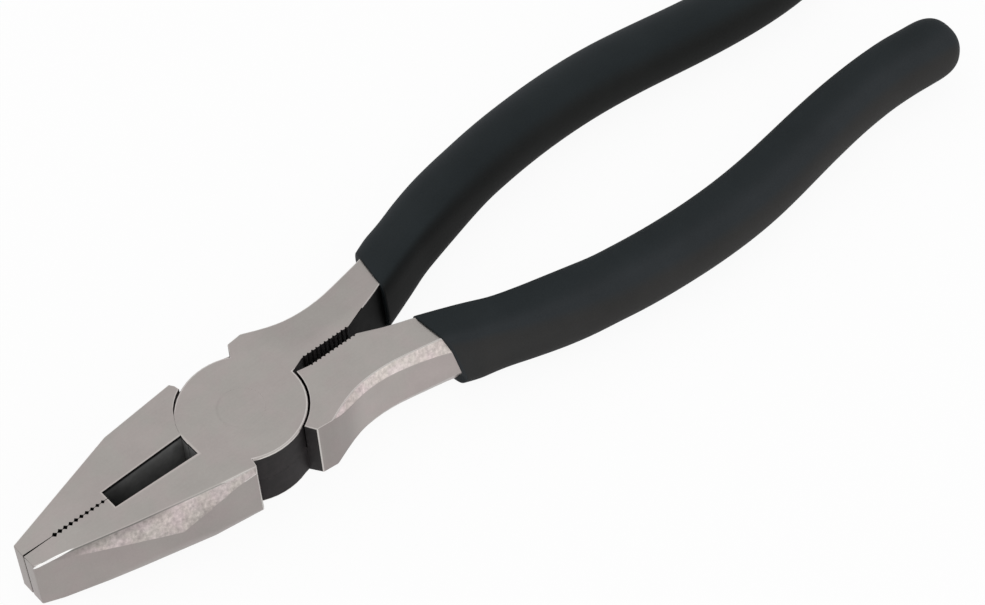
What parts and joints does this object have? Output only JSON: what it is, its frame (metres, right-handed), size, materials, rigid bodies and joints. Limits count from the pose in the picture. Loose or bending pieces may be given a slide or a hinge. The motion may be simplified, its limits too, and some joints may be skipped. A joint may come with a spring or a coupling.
{
  "type": "combination pliers",
  "caption": "Broad-nosed combination pliers with a flush pivot rivet, toothed jaws, a relief window with side cutters, a serrated nip behind the joint and dipped grips.",
  "frame": {"origin": "On the pivot axis, at the flush lower end of the rivet, which lies in the joint's flat lower face.", "axes": "+X runs from the joint along the handles, so the jaws point along -X. +Z is the pivot axis, up through the thickness. +Y is the side of the upper half's handle."},
  "size_m": [0.1999, 0.0538, 0.0139],
  "materials": {
    "steel": "fine ground, satin",
    "rivet_steel": "ground flush, satin",
    "grip": "matte black, fine pebbled"
  },
  "bodies": {
    "lower": {"lower_half": "steel", "pivot_rivet": "rivet_steel", "lower_grip": "grip"},
    "upper": {"upper_half": "steel", "upper_grip": "grip"}
  },
  "joints": [
    {"name": "jaw_pivot", "type": "hinge", "parent": "lower", "child": "upper", "pos_m": [0, 0, 0], "axis": [0, 0, 1], "range_deg": [0, 50]}
  ]
}
